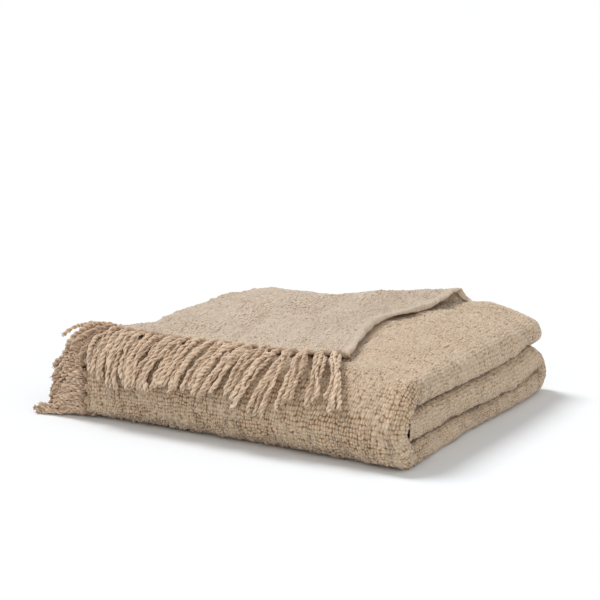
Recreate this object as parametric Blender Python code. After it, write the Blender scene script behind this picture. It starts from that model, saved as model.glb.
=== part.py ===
"""A woven throw blanket, folded into a pack with one corner turned over to show its fringe.

X runs along the pack, Y to its back, Z up. The origin is on the ground under the middle of the pack.
The cloth is worked out flat first: u from the fringed end, v from the selvedge at the top of the back.
Four layers are rolled flat along X, that strip is folded in three along Y, and the top corner is turned over.
"""

import math
from collections import namedtuple

import bmesh
import bpy
import numpy as np

# Pack
HALF_LENGTH = 0.2375
HALF_DEPTH = 0.220
CLOTH = 0.006
LAYER_PITCH = 0.0082
PACKET_GAP = 0.003
TOP_SELVEDGE = 0.214
INNER_SELVEDGE = -0.178
HIDDEN_END_SHORT = 0.012

# Turned-over corner: where its fold leaves the left end, its loop's radius, and how the flap lies
CORNER_START = -0.158
FOLD_ANGLE = math.radians(45.0)
FOLD_LENGTH = 0.50
LOOP_AT_START = 0.0050
LOOP_AT_MIDDLE = 0.0088
LOOP_AT_TIP = 0.0085
LOOP_OPENING = 1.7
FLAP_REST = 0.0084
FLAP_SETTLE = 0.070
SELVEDGE_BOW = 0.026
BOW_LENGTH = 0.33

# Unevenness: the mound at the back, the closed right end and the front that sags forward
MOUND_LEFT = 0.13
MOUND_MIDDLE = 0.19
MOUND_FADE = 0.12
RIGHT_END_FROM = 0.05
END_SINK = 0.006
END_SINK_EASED = 0.8
END_LEAN = 0.010
END_LEAN_BACK = 0.014
FRONT_SAG = 0.040
SAG_POWER = 1.2

# Soft waves: each is high times the sine of its turns, in radians a metre
Wave = namedtuple("Wave", "high along up phase")
SIDE_WANDER = Wave(-0.0028, 9, 55, 1.1)
FRONT_WANDER = Wave(0.0028, 10, 50, 1.2)
END_RIPPLE = Wave(0.002, 17, 0, 0.0)
TOP_WAVE = Wave(0.010, 11, 0, 1.0)
TOP_CROSS_WAVE = Wave(1.0, 9, 0, 0.4 + math.pi / 2)

# Where the straight runs are divided, and into how many steps each bend
X_CUTS = (-0.080, 0.060, 0.115, 0.165)
Y_CUTS = (0.120, 0.030, -0.050, -0.110)
END_BEND_STEPS = {1: 7, 3: 6, 5: 4}
SIDE_BEND_STEPS = {1: 10, 3: 7}
LOOP_STEPS = 6
FLAP_CUTS = (0.018, 0.038, 0.065, 0.105, 0.150)

# Fringe
ROOT_GAP = 0.0004
BACKING = 0.0055
FLAP_STRAND = 0.073
SIDE_STRAND = 0.080
STRAND_HALF = 0.0026
STRAND_TIP_HALF = 0.0018
STRAND_LIFT = 0.0012
FLAP_PITCH = 0.0065
SIDE_PITCH = 0.0074
HIDDEN_PITCH = 0.0160
LOOP_SHARE = 0.024
BUNDLE_STRANDS = 3
BUNDLE_GAP = 0.0012
FLAP_LEAN = Wave(0.0007, 2.3, 0, 0.0)
FLAP_LEAN_AT_TIP = -0.016
FLAP_LEAN_AT_LEFT = 0.017
FLAP_LEAN_OVER = 0.16
LOW_ROOT = 0.012
TIP_RISE = 0.62
TIP_CLEARANCE = 0.009

# What follows from those sizes, with places in the pack and m out from the middle of the rolled strip
PACKET = 3 * LAYER_PITCH + CLOTH
PACKET_STEP = PACKET + PACKET_GAP
BOTTOM_MIDDLE = PACKET / 2
MIDDLE_MIDDLE = BOTTOM_MIDDLE + PACKET_STEP
TOP_MIDDLE = MIDDLE_MIDDLE + PACKET_STEP
FRONT_RADIUS = PACKET_STEP
BACK_RADIUS = PACKET_STEP / 2
FRONT_CENTRE = -HALF_DEPTH + FRONT_RADIUS + PACKET / 2
BACK_CENTRE = HALF_DEPTH - BACK_RADIUS - PACKET / 2
OUTER_LEVEL = 1.5 * LAYER_PITCH

# Lengths of the strip's runs, from the top selvedge to the inner one
TOP_RUN = TOP_SELVEDGE - FRONT_CENTRE
FRONT_RUN = math.pi * FRONT_RADIUS
BOTTOM_RUN = BACK_CENTRE - FRONT_CENTRE
BACK_RUN = math.pi * BACK_RADIUS
MIDDLE_RUN = BACK_CENTRE - INNER_SELVEDGE
STRIP_RUNS = (TOP_RUN, FRONT_RUN, BOTTOM_RUN, BACK_RUN, MIDDLE_RUN)

# Centres of the bends at the pack's ends, and the lengths of the cloth's runs from the fringed end
RIGHT_CENTRE = HALF_LENGTH - OUTER_LEVEL - CLOTH / 2
LEFT_CENTRE = -HALF_LENGTH + LAYER_PITCH + CLOTH / 2 + 0.001
CORNER = TOP_SELVEDGE - CORNER_START
CLOTH_RUNS = (
    RIGHT_CENTRE + HALF_LENGTH,
    math.pi * OUTER_LEVEL,
    RIGHT_CENTRE - LEFT_CENTRE,
    math.pi * LAYER_PITCH,
    RIGHT_CENTRE - LEFT_CENTRE,
    math.pi * LAYER_PITCH / 2,
    RIGHT_CENTRE - LEFT_CENTRE - HIDDEN_END_SHORT,
)


# How the cloth's runs lie, with levels and radii in layer pitches
Straight = namedtuple("Straight", "first way level")
Bend = namedtuple("Bend", "centre level radius first_angle")
CLOTH_PATH = (
    Straight(-HALF_LENGTH, 1, 1.5),
    Bend(RIGHT_CENTRE, 0.0, 1.5, 90),
    Straight(RIGHT_CENTRE, -1, -1.5),
    Bend(LEFT_CENTRE, -0.5, 1.0, 270),
    Straight(LEFT_CENTRE, 1, 0.5),
    Bend(RIGHT_CENTRE, 0.0, 0.5, 90),
    Straight(RIGHT_CENTRE, -1, -0.5),
)


def smooth(value, low, high):
    """0 below low, 1 above high and soft between, for either order of the two."""
    share = np.clip((value - low) / (high - low), 0.0, 1.0)
    return share * share * (3 - 2 * share)


def roll_layers(u, n):
    """Where a point of the flat cloth lies in the rolled strip: along X, and out from the strip's middle."""
    x = np.empty_like(u)
    m = np.empty_like(u)
    start = 0.0
    for run, (length, path) in enumerate(zip(CLOTH_RUNS, CLOTH_PATH)):
        inside = (u >= start) | (run == 0)
        inside &= (u < start + length) | (run == len(CLOTH_RUNS) - 1)
        along = u[inside] - start
        level = path.level * LAYER_PITCH
        if isinstance(path, Straight):
            x[inside] = path.first + path.way * along
            m[inside] = level + path.way * n[inside]
        else:
            radius = path.radius * LAYER_PITCH
            angle = math.radians(path.first_angle) - along / radius
            x[inside] = path.centre + (radius + n[inside]) * np.cos(angle)
            m[inside] = level + (radius + n[inside]) * np.sin(angle)
        start += length
    return x, m


def loop_radius(q):
    """The loop of the turned-over corner opens from the fringed edge to its tip."""
    share = np.clip(q / FOLD_LENGTH, 0.0, 1.0)
    opening = np.sin(np.minimum(share * LOOP_OPENING, 1.0) * math.pi / 2)
    middle = LOOP_AT_START + (LOOP_AT_MIDDLE - LOOP_AT_START) * opening
    return middle + (LOOP_AT_TIP - LOOP_AT_MIDDLE) * smooth(share, 0.6, 1.0)


def fold_axes():
    """The slanting fold's start, its way along and its way beyond, in X and the strip's length."""
    start = np.array([-HALF_LENGTH, CORNER])
    along = np.array([math.cos(FOLD_ANGLE), -math.sin(FOLD_ANGLE)])
    beyond = np.array([-math.sin(FOLD_ANGLE), -math.cos(FOLD_ANGLE)])
    return start, along, beyond


def turn_corner(x, s, m, u, n):
    """Turns the top layer over where it lies beyond the slanting fold."""
    start, along, beyond = fold_axes()
    q = (x - start[0]) * along[0] + (s - start[1]) * along[1]
    w = (x - start[0]) * beyond[0] + (s - start[1]) * beyond[1]
    turned = (u < CLOTH_RUNS[0]) & (s < TOP_RUN) & (w > 0)
    radius = loop_radius(q)
    angle = np.minimum(w / radius, math.pi)
    past = np.maximum(w - math.pi * radius, 0.0)
    drop = smooth(past, 0.0, FLAP_SETTLE)
    across = (radius - n) * np.sin(angle) - past
    height = radius - (radius - n) * np.cos(angle)
    height = height - drop * (2 * radius - FLAP_REST)
    bow = SELVEDGE_BOW * smooth(past, 0.02, 0.16) * smooth(s, 0.20, 0.0)
    bow = bow * np.sin(np.clip(u / BOW_LENGTH, 0.0, 1.0) * math.pi)
    new_x = start[0] + q * along[0] + across * beyond[0] - bow
    new_s = start[1] + q * along[1] + across * beyond[1]
    x = np.where(turned, new_x, x)
    s = np.where(turned, new_s, s)
    m = np.where(turned, OUTER_LEVEL + height, m)
    return x, s, m


def fold_strip(x, s, m):
    """Folds the strip in three: top, front bend, bottom, back bend, middle."""
    y = np.empty_like(s)
    z = np.empty_like(s)
    start = 0.0
    for run, length in enumerate(STRIP_RUNS):
        inside = (s >= start) | (run == 0)
        inside &= (s < start + length) | (run == len(STRIP_RUNS) - 1)
        along = s[inside] - start
        out = m[inside]
        if run == 0:
            y[inside] = TOP_SELVEDGE - along
            z[inside] = TOP_MIDDLE + out
        elif run == 1:
            angle = along / FRONT_RADIUS
            y[inside] = FRONT_CENTRE - (FRONT_RADIUS + out) * np.sin(angle)
            z[inside] = MIDDLE_MIDDLE + (FRONT_RADIUS + out) * np.cos(angle)
        elif run == 2:
            y[inside] = FRONT_CENTRE + along
            z[inside] = BOTTOM_MIDDLE - out
        elif run == 3:
            angle = along / BACK_RADIUS
            centre = (BOTTOM_MIDDLE + MIDDLE_MIDDLE) / 2
            y[inside] = BACK_CENTRE + (BACK_RADIUS + out) * np.sin(angle)
            z[inside] = centre - (BACK_RADIUS + out) * np.cos(angle)
        else:
            y[inside] = BACK_CENTRE - along
            z[inside] = MIDDLE_MIDDLE + out
        start += length
    return np.stack([x, y, z], axis=-1)


def wave(kind, along, up=0.0):
    return kind.high * np.sin(kind.along * along + kind.up * up + kind.phase)


def settle(points):
    """The pack's own unevenness: fuller at its back, sagging at its front, with leaning ends."""
    x, y, z = points[..., 0], points[..., 1], points[..., 2]
    height = z / (TOP_MIDDLE + PACKET / 2)
    right_end = smooth(x, RIGHT_END_FROM, HALF_LENGTH)
    full = MOUND_LEFT + (MOUND_MIDDLE - MOUND_LEFT) * smooth(x, -0.16, 0.09)
    fade = np.clip((HALF_LENGTH - 0.01 - x) / MOUND_FADE, 0.0, 1.0)
    full = full * np.sin(fade * math.pi / 2)
    lift = full * smooth(y, -0.18, 0.02) + wave(TOP_WAVE, x) * wave(TOP_CROSS_WAVE, y)
    squeeze = np.sin(np.clip(height, 0, 1) * math.pi)
    low = -END_SINK * right_end * squeeze * (1 - END_SINK_EASED * smooth(y, 0.10, 0.20))
    lean = right_end * (END_LEAN - END_LEAN_BACK * height + wave(END_RIPPLE, y))
    sag = FRONT_SAG * smooth(y, -0.01, -0.17) * np.clip(1 - height, 0.0, 1.0) ** SAG_POWER
    new_x = x + lean + wave(SIDE_WANDER, y, z)
    new_y = y - sag + wave(FRONT_WANDER, x, z)
    return np.stack([new_x, new_y, z * (1 + lift) + low], axis=-1)


def place(u, v, n):
    """A point of the flat cloth, n out of its middle, where it lies in the pack."""
    u, v, n = (np.asarray(a, float) for a in np.broadcast_arrays(u, v, n))
    x, m = roll_layers(u, n)
    x, s, m = turn_corner(x, v, m, u, n)
    return settle(fold_strip(x, s, m))


def stations(runs, bend_steps, starts, cuts):
    """The grid's lines on the flat: even ones round a bend, the same cuts in every straight run."""
    found = [0.0]
    for run, length in enumerate(runs):
        first = found[-1]
        if run in bend_steps:
            steps = bend_steps[run]
            found += [first + length * (i + 1) / steps for i in range(steps)]
        else:
            inside = sorted(abs(cut - starts[run]) for cut in cuts)
            found += [first + along for along in inside] + [first + length]
    return found


def flat_cloth():
    """The flat cloth as triangles, cut along the lines of every fold."""
    mesh = bmesh.new()
    x_starts = [path.first if isinstance(path, Straight) else None for path in CLOTH_PATH]
    y_starts = [TOP_SELVEDGE, None, FRONT_CENTRE, None, BACK_CENTRE]
    us = stations(CLOTH_RUNS, END_BEND_STEPS, x_starts, X_CUTS)
    vs = stations(STRIP_RUNS, SIDE_BEND_STEPS, y_starts, Y_CUTS)
    grid = [[mesh.verts.new((u, v, 0.0)) for v in vs] for u in us]
    for i in range(len(us) - 1):
        for j in range(len(vs) - 1):
            corners = (grid[i][j], grid[i + 1][j], grid[i + 1][j + 1], grid[i][j + 1])
            mesh.faces.new(corners)
    start, along, beyond = fold_axes()
    origin = np.array([start[0] + HALF_LENGTH, start[1]])
    lines = [(step / LOOP_STEPS, 0.0) for step in range(LOOP_STEPS + 1)]
    lines += [(1.0, past) for past in FLAP_CUTS]
    for share, past in lines:
        ends = []
        for q in (0.0, FOLD_LENGTH):
            w = share * math.pi * float(loop_radius(q)) + past
            ends.append(origin + q * along + w * beyond)
        way = ends[1] - ends[0]
        faces = [
            face
            for face in mesh.faces
            if all(v.co.x < CLOTH_RUNS[0] + 1e-6 and v.co.y < TOP_RUN + 1e-6 for v in face.verts)
        ]
        edges = list({edge for face in faces for edge in face.edges})
        verts = list({vert for face in faces for vert in face.verts})
        bmesh.ops.bisect_plane(
            mesh,
            geom=verts + edges + faces,
            dist=1e-5,
            plane_co=(ends[0][0], ends[0][1], 0.0),
            plane_no=(-way[1], way[0], 0.0),
        )
    bmesh.ops.triangulate(mesh, faces=mesh.faces)
    bmesh.ops.recalc_face_normals(mesh, faces=mesh.faces)
    return mesh


def material(name, colour, roughness):
    made = bpy.data.materials.new(name)
    made.use_nodes = True
    shader = made.node_tree.nodes["Principled BSDF"]
    shader.inputs["Base Color"].default_value = (*colour, 1.0)
    shader.inputs["Roughness"].default_value = roughness
    shader.inputs["Metallic"].default_value = 0.0
    return made


def add_object(name, points, faces, finish):
    mesh = bpy.data.meshes.new(name)
    mesh.from_pydata([tuple(p) for p in points], [], faces)
    mesh.validate()
    tidy = bmesh.new()
    tidy.from_mesh(mesh)
    bmesh.ops.recalc_face_normals(tidy, faces=tidy.faces)
    if tidy.calc_volume(signed=True) < 0:
        bmesh.ops.reverse_faces(tidy, faces=tidy.faces)
    tidy.to_mesh(mesh)
    tidy.free()
    mesh.shade_smooth()
    mesh.materials.append(finish)
    made = bpy.data.objects.new(name, mesh)
    bpy.context.scene.collection.objects.link(made)
    return made


def make_throw(finish):
    flat = flat_cloth()
    flat.verts.index_update()
    count = len(flat.verts)
    uv = np.array([vert.co[:2] for vert in flat.verts])
    outer = place(uv[:, 0], uv[:, 1], CLOTH / 2)
    inner = place(uv[:, 0], uv[:, 1], -CLOTH / 2)
    faces = []
    for face in flat.faces:
        ring = [vert.index for vert in face.verts]
        faces.append(tuple(ring))
        faces.append(tuple(i + count for i in reversed(ring)))
    for edge in flat.edges:
        if len(edge.link_faces) != 1:
            continue
        loop = edge.link_loops[0]
        a, b = loop.vert.index, loop.link_loop_next.vert.index
        faces.append((b, a, a + count))
        faces.append((b, a + count, b + count))
    flat.free()
    return add_object("throw", np.vstack([outer, inner]), faces, finish)


def strand_rows(first, last, pitch, bundle_gap=0.0):
    """The middles of the strands along the edge, a little wider apart between bundles."""
    rows = []
    at = first + pitch / 2
    while at < last - pitch / 2:
        rows.append(at)
        at += pitch
        if len(rows) % BUNDLE_STRANDS == 0:
            at += bundle_gap
    return rows


def make_fringe(name, first, last, rows, path, finish):
    """A backing along the edge from first to last, with a four-sided strand at each row."""
    points = []
    faces = []
    cuts = [first]
    for at in rows:
        cuts += [at - STRAND_HALF, at + STRAND_HALF]
    cuts.append(last)
    near, far = -ROOT_GAP, -ROOT_GAP - BACKING
    half = CLOTH / 2
    for v in cuts:
        section = place([near, near, far, far], v, [-half, half, STRAND_HALF, -STRAND_HALF])
        points += [tuple(p) for p in section]
    for i in range(len(cuts) - 1):
        a, b = 4 * i, 4 * (i + 1)
        faces += [(a, b, b + 1, a + 1), (a + 1, b + 1, b + 2, a + 2), (a + 3, b + 3, b, a)]
        if i % 2 == 0:
            faces.append((a + 2, b + 2, b + 3, a + 3))
    end = 4 * (len(cuts) - 1)
    faces += [(0, 1, 2, 3), (end + 3, end + 2, end + 1, end)]
    for row, at in enumerate(rows):
        a = 4 * (2 * row + 1)
        ring = [a + 2, a + 6, a + 7, a + 3]
        for section in path(row, at):
            new = list(range(len(points), len(points) + 4))
            points += [tuple(p) for p in section]
            for k in range(4):
                after = (k + 1) % 4
                faces.append((ring[k], ring[after], new[after], new[k]))
            ring = new
        faces.append(tuple(ring))
    return add_object(name, points, faces, finish)


def strand_half(t):
    return STRAND_HALF + (STRAND_TIP_HALF - STRAND_HALF) * t


def flap_path(row, at):
    """A strand of the turned-over corner, forward over the front bend and leaning to the left."""
    rings = []
    bundle = row // BUNDLE_STRANDS
    lean = FLAP_LEAN_AT_TIP + (FLAP_LEAN_AT_LEFT - FLAP_LEAN_AT_TIP) * smooth(at, 0.0, FLAP_LEAN_OVER)
    lean += wave(FLAP_LEAN, bundle)
    length = FLAP_STRAND * (0.98 + 0.03 * math.sin(1.7 * row))
    for t in (0.22, 0.48, 0.74, 1.0):
        u = -ROOT_GAP - BACKING - length * t
        v = at + lean * t**1.3
        half = strand_half(t)
        n = -STRAND_LIFT * min(1.0, 3 * t)
        across = [v - half, v + half, v + half, v - half]
        rings.append(place(u, across, [n + half, n + half, n - half, n - half]))
    return rings


def side_axes(at):
    """Where a side strand starts, with the way out of the cloth there and the way along its edge."""
    far = -ROOT_GAP - BACKING
    step = 0.001
    below, above, before, after = place([far] * 4, [at, at, at - step, at + step], [-step, step, 0, 0])
    out = (above - below) / np.linalg.norm(above - below)
    side = (after - before) / np.linalg.norm(after - before)
    return (below + above) / 2, out, side


def side_path(row, at):
    """A strand of the left end, out to the left and down, level where it meets the ground."""
    middle, out, side = side_axes(at)
    height = middle[2]
    on_ground = height < LOW_ROOT
    tip_height = STRAND_TIP_HALF if on_ground else TIP_CLEARANCE + TIP_RISE * (height - LOW_ROOT)
    fall = height - tip_height
    reach = math.sqrt(max(SIDE_STRAND**2 - (1.1 * fall) ** 2, 0.0))
    reach = reach * (0.95 + 0.03 * math.sin(2.1 * row))
    rings = []
    for t in (0.30, 0.65, 1.0):
        half = strand_half(t)
        if on_ground:
            drop = smooth(t, 0.0, 0.3) * (height - half)
            slope = 0.0
        else:
            drop = fall * t**1.5
            slope = math.atan2(1.5 * fall * t**0.5, reach)
        centre = middle + np.array([-reach * t, 0.0, -drop])
        cos, sin = math.cos(slope), math.sin(slope)
        turn = np.array([[cos, 0, sin], [0, 1, 0], [-sin, 0, cos]])
        a, b = turn @ side * half, turn @ out * half
        ring = np.array([centre - a + b, centre + a + b, centre + a - b, centre - a - b])
        lowest = ring[:, 2].min()
        if on_ground or lowest < 0.0:
            ring[:, 2] -= lowest
        rings.append(ring)
    return rings


def make_fringes(finish):
    """Two backings, because the fringed edge turns back at the loop of the turned-over corner."""
    turn = CORNER - LOOP_SHARE
    rows = strand_rows(0.002, turn, FLAP_PITCH, BUNDLE_GAP)
    make_fringe("fringe_corner", 0.001, turn - 0.0005, rows, flap_path, finish)
    front_end = TOP_RUN + FRONT_RUN
    bottom_end = front_end + BOTTOM_RUN
    middle_start = bottom_end + BACK_RUN
    last = middle_start + MIDDLE_RUN
    rows = strand_rows(CORNER + 0.001, front_end, SIDE_PITCH)
    rows += strand_rows(front_end + 0.004, bottom_end, HIDDEN_PITCH)
    rows += strand_rows(bottom_end, middle_start, SIDE_PITCH)
    rows += strand_rows(middle_start, last - 0.004, HIDDEN_PITCH)
    make_fringe("fringe_side", CORNER, last - 0.001, rows, side_path, finish)


def main():
    for old in list(bpy.data.objects):
        bpy.data.objects.remove(old, do_unlink=True)
    make_throw(material("cloth", (0.56, 0.43, 0.31), 0.95))
    make_fringes(material("fringe", (0.53, 0.39, 0.28), 0.95))


main()
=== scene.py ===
import math

import bpy
import numpy as np
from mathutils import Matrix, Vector


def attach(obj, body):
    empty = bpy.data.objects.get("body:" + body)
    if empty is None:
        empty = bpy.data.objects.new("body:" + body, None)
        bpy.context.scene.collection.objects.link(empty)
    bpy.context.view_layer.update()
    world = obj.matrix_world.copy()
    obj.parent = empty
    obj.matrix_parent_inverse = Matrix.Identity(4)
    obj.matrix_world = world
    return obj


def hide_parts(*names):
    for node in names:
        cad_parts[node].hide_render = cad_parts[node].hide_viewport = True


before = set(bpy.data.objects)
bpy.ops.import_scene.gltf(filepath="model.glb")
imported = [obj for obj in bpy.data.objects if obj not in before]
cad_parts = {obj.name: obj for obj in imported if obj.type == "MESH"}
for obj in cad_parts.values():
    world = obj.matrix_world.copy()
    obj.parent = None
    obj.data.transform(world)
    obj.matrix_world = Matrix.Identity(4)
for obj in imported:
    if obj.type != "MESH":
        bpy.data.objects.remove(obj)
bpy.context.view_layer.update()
print("frame loaded")

# How the throw is folded, in metres and as in the solids: X along the pack, Y to its back, Z up
pack = dict(
    halfLength=0.2375,
    halfDepth=0.220,
    cloth=0.006,
    pitch=0.0082,  # from layer to layer
    packetGap=0.003,
    topSelvedge=0.214,
    innerSelvedge=-0.178,
    hiddenShort=0.012,
    leftIn=0.001,
)
turned = dict(  # the corner that is turned over
    start=-0.158,
    angle=math.radians(45.0),
    length=0.50,
    loopAtStart=0.0050,
    loopAtMiddle=0.0088,
    loopAtTip=0.0085,
    opening=1.7,
    rest=0.0084,
    settle=0.070,
    tipFrom=0.6,  # share of the length where the loop starts to draw in to its tip
    bow=0.026,  # the selvedge bows in
    bowLength=0.33,
    bowPast=(0.02, 0.16),
    bowStrip=(0.20, 0.0),
    hemBow=0.017,  # the hem hangs forward between its ends
    hemReach=0.16,
    hemTip=0.07,
    hemLoop=0.05,
)
# How the pack settles out of true: ranges run from none of the change to all of it
uneven = dict(
    moundLeft=0.13,  # the pack is higher in the middle
    moundMiddle=0.19,
    moundAlong=(-0.16, 0.09),
    moundDeep=(-0.18, 0.02),
    moundFade=0.085,
    moundEnd=0.01,
    swing=(0.010, 11, 0, 1.0),
    swingDeep=(9, 0.4),
    endFrom=0.05,  # the right end sinks, and leans out at its foot
    endSink=0.006,
    endEased=0.8,
    easedDeep=(0.10, 0.20),
    endLean=0.013,
    endWave=(0.002, 17, 0, 0.0),
    leanBack=0.017,
    sag=0.040,  # the front sags forward
    sagPower=1.2,
    sagDeep=(-0.01, -0.17),
    leftFrom=-0.10,  # the left end swells, and its back corner is round
    leftSwell=0.006,
    swellDeep=(-0.23, 0.06),
    leftRound=0.020,
    roundFrom=0.12,
    leftRise=0.034,
    riseAlong=(0.0, -0.20),
    leftTuck=0.024,  # the lower layers' left ends lie further in
    tuckFrom=0.05,
    tuckHigh=(0.95, 0.35),
    tuckDeep=(-0.06, -0.20),
    grooveAt=0.032,  # at the right end the lower two packets press together
    grooveHigh=0.008,
    grooveFill=0.0065,
    grooveAlong=(0.018, 0.002),
    grooveDeep=(0.185, 0.14),
    noseClear=-0.0012,
    noseFrom=0.06,
    sideWander=(-0.0028, 9, 55, 1.1),  # size, two lengths' rates and phase of a wave
    frontWander=(0.0028, 10, 50, 1.2),
)

packet = 3 * pack["pitch"] + pack["cloth"]
packetStep = packet + pack["packetGap"]
bottomMiddle = packet / 2
middleMiddle = bottomMiddle + packetStep
topMiddle = middleMiddle + packetStep
frontRadius = packetStep
backRadius = packetStep / 2
frontCentre = -pack["halfDepth"] + frontRadius + packet / 2
backCentre = pack["halfDepth"] - backRadius - packet / 2
outerLevel = 1.5 * pack["pitch"]
cornerAt = pack["topSelvedge"] - turned["start"]  # along the fringed edge, from the selvedge

topRun = pack["topSelvedge"] - frontCentre
stripRuns = (
    topRun,
    math.pi * frontRadius,
    backCentre - frontCentre,
    math.pi * backRadius,
    backCentre - pack["innerSelvedge"],
)
rightCentre = pack["halfLength"] - outerLevel - pack["cloth"] / 2
leftCentre = -pack["halfLength"] + pack["pitch"] + pack["cloth"] / 2 + pack["leftIn"]
clothRuns = (
    rightCentre + pack["halfLength"],
    math.pi * outerLevel,
    rightCentre - leftCentre,
    math.pi * pack["pitch"],
    rightCentre - leftCentre,
    math.pi * pack["pitch"] / 2,
    rightCentre - leftCentre - pack["hiddenShort"],
)
clothLength = sum(clothRuns)
clothWidth = sum(stripRuns)
# A straight run's first X, way and level, or a bend's centre, level and radius in layer pitches
clothPath = (
    dict(first=-pack["halfLength"], way=1, level=1.5),
    dict(centre=rightCentre, level=0.0, radius=1.5, angle=90),
    dict(first=rightCentre, way=-1, level=-1.5),
    dict(centre=leftCentre, level=-0.5, radius=1.0, angle=270),
    dict(first=leftCentre, way=1, level=0.5),
    dict(centre=rightCentre, level=0.0, radius=0.5, angle=90),
    dict(first=rightCentre, way=-1, level=-0.5),
)


def smooth(value, low, high):
    share = np.clip((value - low) / (high - low), 0.0, 1.0)
    return share * share * (3 - 2 * share)


def wave(shape, a, b=0.0):
    size, rateA, rateB, phase = shape
    return size * np.sin(rateA * a + rateB * b + phase)


def rollLayers(u, n):
    x = np.empty_like(u)
    m = np.empty_like(u)
    start = 0.0
    for run, (length, path) in enumerate(zip(clothRuns, clothPath)):
        inside = (u >= start) | (run == 0)
        inside &= (u < start + length) | (run == len(clothRuns) - 1)
        along = u[inside] - start
        level = path["level"] * pack["pitch"]
        if "way" in path:
            x[inside] = path["first"] + path["way"] * along
            m[inside] = level + path["way"] * n[inside]
        else:
            radius = path["radius"] * pack["pitch"]
            angle = math.radians(path["angle"]) - along / radius
            x[inside] = path["centre"] + (radius + n[inside]) * np.cos(angle)
            m[inside] = level + (radius + n[inside]) * np.sin(angle)
        start += length
    return x, m


def loopRadius(q):
    share = np.clip(q / turned["length"], 0.0, 1.0)
    opening = np.sin(np.minimum(share * turned["opening"], 1.0) * math.pi / 2)
    middle = turned["loopAtStart"] + (turned["loopAtMiddle"] - turned["loopAtStart"]) * opening
    return middle + (turned["loopAtTip"] - turned["loopAtMiddle"]) * smooth(share, turned["tipFrom"], 1.0)


foldStart = (-pack["halfLength"], cornerAt)
foldAlong = (math.cos(turned["angle"]), -math.sin(turned["angle"]))
foldBeyond = (-math.sin(turned["angle"]), -math.cos(turned["angle"]))


def foldPlace(x, s):  # how far along the slanting fold, and how far beyond it
    dx, ds = x - foldStart[0], s - foldStart[1]
    return dx * foldAlong[0] + ds * foldAlong[1], dx * foldBeyond[0] + ds * foldBeyond[1]


def turnCorner(x, s, m, u, n):
    q, w = foldPlace(x, s)
    over = (u < clothRuns[0]) & (s < topRun) & (w > 0)
    radius = loopRadius(q)
    angle = np.minimum(w / radius, math.pi)
    past = np.maximum(w - math.pi * radius, 0.0)
    across = (radius - n) * np.sin(angle) - past
    height = radius - (radius - n) * np.cos(angle)
    height = height - smooth(past, 0.0, turned["settle"]) * (2 * radius - turned["rest"])
    bow = turned["bow"] * smooth(past, *turned["bowPast"]) * smooth(s, *turned["bowStrip"])
    bow = bow * np.sin(np.clip(u / turned["bowLength"], 0.0, 1.0) * math.pi)
    forward = turned["hemBow"] * smooth(s, 0.0, turned["hemTip"])
    forward = forward * smooth(s, cornerAt, cornerAt - turned["hemLoop"])
    forward = forward * smooth(u, turned["hemReach"], 0.0)
    newX = foldStart[0] + q * foldAlong[0] + across * foldBeyond[0] - bow
    newS = foldStart[1] + q * foldAlong[1] + across * foldBeyond[1] + forward
    return np.where(over, newX, x), np.where(over, newS, s), np.where(over, outerLevel + height, m)


def foldStrip(x, s, m):
    y = np.empty_like(s)
    z = np.empty_like(s)
    start = 0.0
    for run, length in enumerate(stripRuns):
        inside = (s >= start) | (run == 0)
        inside &= (s < start + length) | (run == len(stripRuns) - 1)
        along, out = s[inside] - start, m[inside]
        if run == 0:
            y[inside], z[inside] = pack["topSelvedge"] - along, topMiddle + out
        elif run == 1:
            angle = along / frontRadius
            y[inside] = frontCentre - (frontRadius + out) * np.sin(angle)
            z[inside] = middleMiddle + (frontRadius + out) * np.cos(angle)
        elif run == 2:
            y[inside], z[inside] = frontCentre + along, bottomMiddle - out
        elif run == 3:
            angle = along / backRadius
            y[inside] = backCentre + (backRadius + out) * np.sin(angle)
            z[inside] = (bottomMiddle + middleMiddle) / 2 - (backRadius + out) * np.cos(angle)
        else:
            # The hidden packet's front edge is a round nose inside the front bend
            noseRadius = frontRadius - packet / 2 - uneven["noseClear"]
            nose = np.sqrt(np.clip(noseRadius**2 - out**2, 0.0, None))
            further = np.maximum(nose - (frontCentre - pack["innerSelvedge"]), 0.0)
            further = further * smooth(along, length - uneven["noseFrom"], length)
            y[inside], z[inside] = backCentre - along - further, middleMiddle + out
        start += length
    return y, z


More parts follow.
